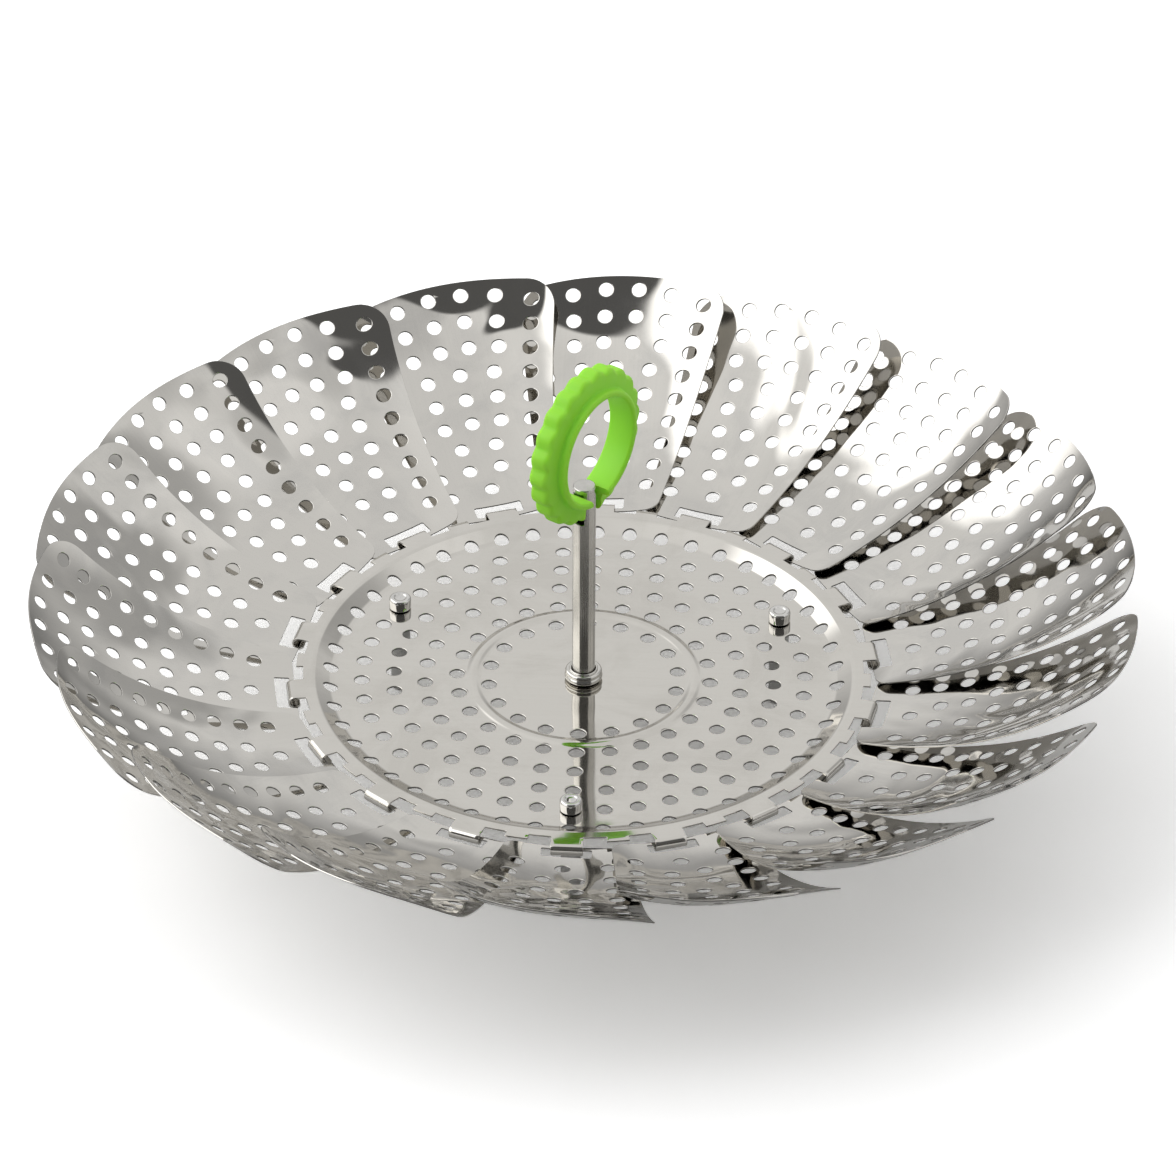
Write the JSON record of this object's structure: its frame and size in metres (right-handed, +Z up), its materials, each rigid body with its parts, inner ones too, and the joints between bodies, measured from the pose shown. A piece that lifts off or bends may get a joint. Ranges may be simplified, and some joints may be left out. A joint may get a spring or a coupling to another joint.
{
  "type": "folding steamer basket",
  "caption": "Folding steamer basket: perforated plate on short legs, ringed by hinged overlapping petals, with a telescoping centre post and a soft lifting ring.",
  "frame": {"origin": "on the post's axis, level with the bottoms of the feet", "axes": "+Z up along the post; +Y toward the middle of petal_01; the foot of leg_2 is on -Y"},
  "size_m": [0.2774, 0.2786, 0.1162],
  "materials": {
    "plate_steel": "mirror-polished stainless sheet",
    "petal_steel": "mirror-polished stainless sheet",
    "leg_steel": "plain drawn stainless rod",
    "screw_steel": "polished stainless",
    "collar_steel": "polished rolled stainless",
    "pin_steel": "plain drawn stainless rod",
    "washer_steel": "plain stainless",
    "tube_steel": "polished drawn stainless tube",
    "ring_silicone": "satin moulded silicone, bright green"
  },
  "bodies": {
    "base": {"base_plate": "plate_steel", "leg_1": "leg_steel", "leg_2": "leg_steel", "leg_3": "leg_steel", "leg_screw_1": "screw_steel", "leg_screw_2": "screw_steel", "leg_screw_3": "screw_steel", "post_collar": "collar_steel", "guide_pin": "pin_steel", "pin_washer": "washer_steel"},
    "petal_01": {"petal_01": "petal_steel"},
    "petal_02": {"petal_02": "petal_steel"},
    "petal_03": {"petal_03": "petal_steel"},
    "petal_04": {"petal_04": "petal_steel"},
    "petal_05": {"petal_05": "petal_steel"},
    "petal_06": {"petal_06": "petal_steel"},
    "petal_07": {"petal_07": "petal_steel"},
    "petal_08": {"petal_08": "petal_steel"},
    "petal_09": {"petal_09": "petal_steel"},
    "petal_10": {"petal_10": "petal_steel"},
    "petal_11": {"petal_11": "petal_steel"},
    "petal_12": {"petal_12": "petal_steel"},
    "petal_13": {"petal_13": "petal_steel"},
    "petal_14": {"petal_14": "petal_steel"},
    "petal_15": {"petal_15": "petal_steel"},
    "petal_16": {"petal_16": "petal_steel"},
    "petal_17": {"petal_17": "petal_steel"},
    "petal_18": {"petal_18": "petal_steel"},
    "lift_tube": {"lift_tube": "tube_steel"},
    "lift_ring": {"lift_ring": "ring_silicone"}
  },
  "joints": [
    {"name": "petal_01_hinge", "type": "hinge", "parent": "base", "child": "petal_01", "pos_m": [0, 0.0735, 0.0254], "axis": [1, 0, 0], "range_deg": [0, 70]},
    {"name": "petal_02_hinge", "type": "hinge", "parent": "base", "child": "petal_02", "pos_m": [0.02514, 0.06907, 0.0254], "axis": [0.9397, -0.342, 0], "range_deg": [0, 70]},
    {"name": "petal_03_hinge", "type": "hinge", "parent": "base", "child": "petal_03", "pos_m": [0.04724, 0.0563, 0.0254], "axis": [0.766, -0.6428, 0], "range_deg": [0, 70]},
    {"name": "petal_04_hinge", "type": "hinge", "parent": "base", "child": "petal_04", "pos_m": [0.06365, 0.03675, 0.0254], "axis": [0.5, -0.866, 0], "range_deg": [0, 70]},
    {"name": "petal_05_hinge", "type": "hinge", "parent": "base", "child": "petal_05", "pos_m": [0.07238, 0.01276, 0.0254], "axis": [0.1736, -0.9848, 0], "range_deg": [0, 70]},
    {"name": "petal_06_hinge", "type": "hinge", "parent": "base", "child": "petal_06", "pos_m": [0.07238, -0.01276, 0.0254], "axis": [-0.1736, -0.9848, 0], "range_deg": [0, 70]},
    {"name": "petal_07_hinge", "type": "hinge", "parent": "base", "child": "petal_07", "pos_m": [0.06365, -0.03675, 0.0254], "axis": [-0.5, -0.866, 0], "range_deg": [0, 70]},
    {"name": "petal_08_hinge", "type": "hinge", "parent": "base", "child": "petal_08", "pos_m": [0.04724, -0.0563, 0.0254], "axis": [-0.766, -0.6428, 0], "range_deg": [0, 70]},
    {"name": "petal_09_hinge", "type": "hinge", "parent": "base", "child": "petal_09", "pos_m": [0.02514, -0.06907, 0.0254], "axis": [-0.9397, -0.342, 0], "range_deg": [0, 70]},
    {"name": "petal_10_hinge", "type": "hinge", "parent": "base", "child": "petal_10", "pos_m": [0, -0.0735, 0.0254], "axis": [-1, 0, 0], "range_deg": [0, 70]},
    {"name": "petal_11_hinge", "type": "hinge", "parent": "base", "child": "petal_11", "pos_m": [-0.02514, -0.06907, 0.0254], "axis": [-0.9397, 0.342, 0], "range_deg": [0, 70]},
    {"name": "petal_12_hinge", "type": "hinge", "parent": "base", "child": "petal_12", "pos_m": [-0.04724, -0.0563, 0.0254], "axis": [-0.766, 0.6428, 0], "range_deg": [0, 70]},
    {"name": "petal_13_hinge", "type": "hinge", "parent": "base", "child": "petal_13", "pos_m": [-0.06365, -0.03675, 0.0254], "axis": [-0.5, 0.866, 0], "range_deg": [0, 70]},
    {"name": "petal_14_hinge", "type": "hinge", "parent": "base", "child": "petal_14", "pos_m": [-0.07238, -0.01276, 0.0254], "axis": [-0.1736, 0.9848, 0], "range_deg": [0, 70]},
    {"name": "petal_15_hinge", "type": "hinge", "parent": "base", "child": "petal_15", "pos_m": [-0.07238, 0.01276, 0.0254], "axis": [0.1736, 0.9848, 0], "range_deg": [0, 70]},
    {"name": "petal_16_hinge", "type": "hinge", "parent": "base", "child": "petal_16", "pos_m": [-0.06365, 0.03675, 0.0254], "axis": [0.5, 0.866, 0], "range_deg": [0, 70]},
    {"name": "petal_17_hinge", "type": "hinge", "parent": "base", "child": "petal_17", "pos_m": [-0.04724, 0.0563, 0.0254], "axis": [0.766, 0.6428, 0], "range_deg": [0, 70]},
    {"name": "petal_18_hinge", "type": "hinge", "parent": "base", "child": "petal_18", "pos_m": [-0.02514, 0.06907, 0.0254], "axis": [0.9397, 0.342, 0], "range_deg": [0, 70]},
    {"name": "tube_lift", "type": "slide", "parent": "base", "child": "lift_tube", "axis": [0, 0, 1], "range_m": [0, 0.035]},
    {"name": "ring_tilt", "type": "hinge", "parent": "lift_tube", "child": "lift_ring", "pos_m": [0, 0, 0.078], "axis": [0.5299, 0.848, 0], "range_deg": [-85, 85]}
  ],
  "couplings": [
    {"joint": "petal_02_hinge", "follows": "petal_01_hinge", "ratio": 1},
    {"joint": "petal_03_hinge", "follows": "petal_01_hinge", "ratio": 1},
    {"joint": "petal_04_hinge", "follows": "petal_01_hinge", "ratio": 1},
    {"joint": "petal_05_hinge", "follows": "petal_01_hinge", "ratio": 1},
    {"joint": "petal_06_hinge", "follows": "petal_01_hinge", "ratio": 1},
    {"joint": "petal_07_hinge", "follows": "petal_01_hinge", "ratio": 1},
    {"joint": "petal_08_hinge", "follows": "petal_01_hinge", "ratio": 1},
    {"joint": "petal_09_hinge", "follows": "petal_01_hinge", "ratio": 1},
    {"joint": "petal_10_hinge", "follows": "petal_01_hinge", "ratio": 1},
    {"joint": "petal_11_hinge", "follows": "petal_01_hinge", "ratio": 1},
    {"joint": "petal_12_hinge", "follows": "petal_01_hinge", "ratio": 1},
    {"joint": "petal_13_hinge", "follows": "petal_01_hinge", "ratio": 1},
    {"joint": "petal_14_hinge", "follows": "petal_01_hinge", "ratio": 1},
    {"joint": "petal_15_hinge", "follows": "petal_01_hinge", "ratio": 1},
    {"joint": "petal_16_hinge", "follows": "petal_01_hinge", "ratio": 1},
    {"joint": "petal_17_hinge", "follows": "petal_01_hinge", "ratio": 1},
    {"joint": "petal_18_hinge", "follows": "petal_01_hinge", "ratio": 1}
  ]
}
